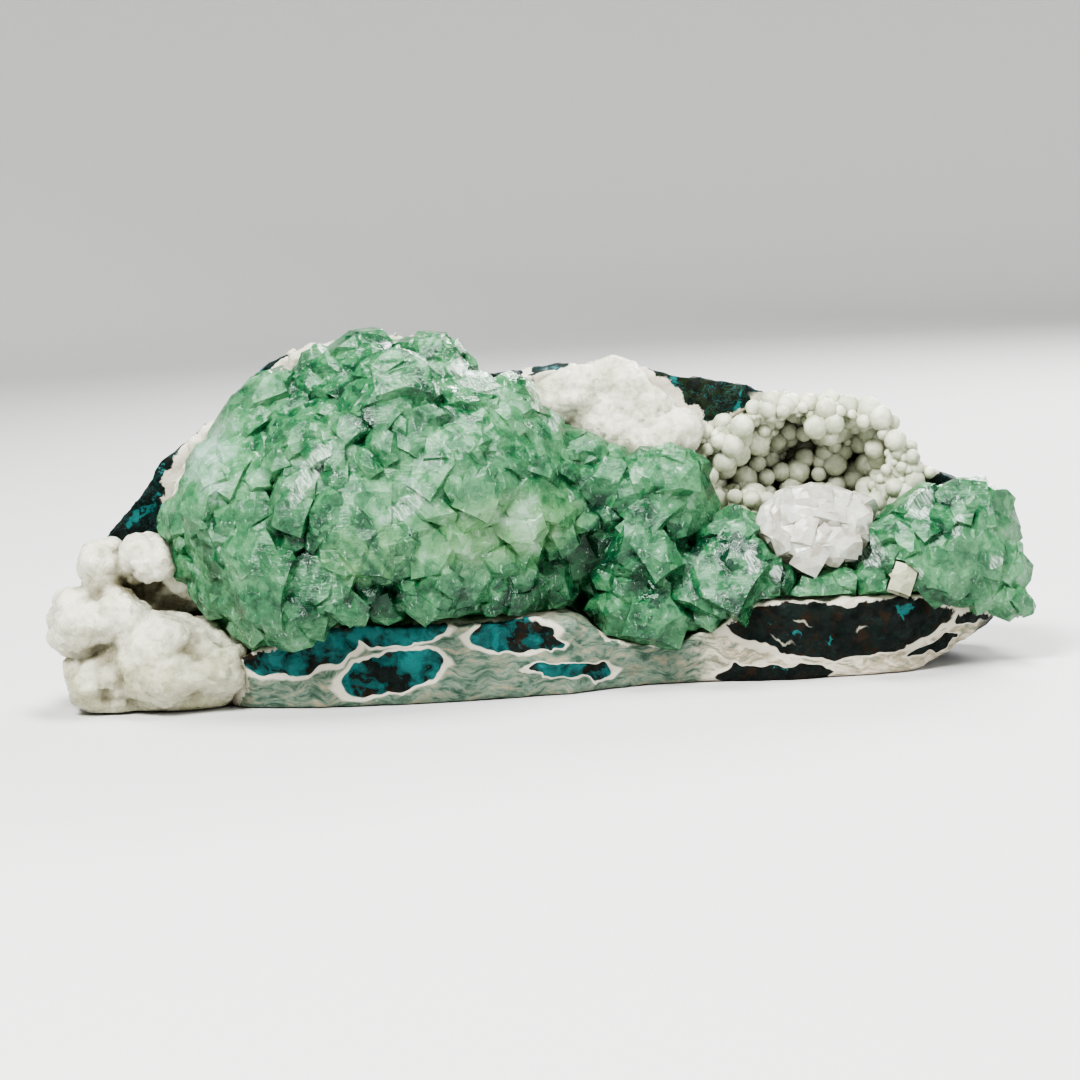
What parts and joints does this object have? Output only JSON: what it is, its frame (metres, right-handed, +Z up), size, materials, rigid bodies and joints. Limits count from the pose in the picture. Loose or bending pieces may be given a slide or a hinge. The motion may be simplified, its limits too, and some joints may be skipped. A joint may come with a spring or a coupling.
{
  "type": "apophyllite specimen",
  "caption": "Natural mineral specimen: green tetragonal crystals fanned over a dark rock block, with white crusts and a pocket lined with white balls.",
  "frame": {"origin": "centre of the bounding box, on the flat cut that the specimen rests on", "axes": "+X runs to the right along the block's length, +Y runs from the crystals to the back, +Z is up"},
  "size_m": [0.1698, 0.0574, 0.0634],
  "materials": {
    "basalt": "rough broken rock with blue-green and rusty patches",
    "green_crystal": "glossy clouded crystal",
    "white_crust": "sparkling granular crust",
    "white_balls": "satin rounded balls",
    "white_crystal": "glossy milky crystal",
    "cream_crystal": "satin crystal face"
  },
  "bodies": {
    "root": {"basalt_block": "basalt", "green_crystals": "green_crystal", "white_crust_left": "white_crust", "white_crust_top": "white_crust", "ball_crust": "white_balls", "clear_white_crystals": "white_crystal", "cream_crystal": "cream_crystal"}
  },
  "joints": []
}
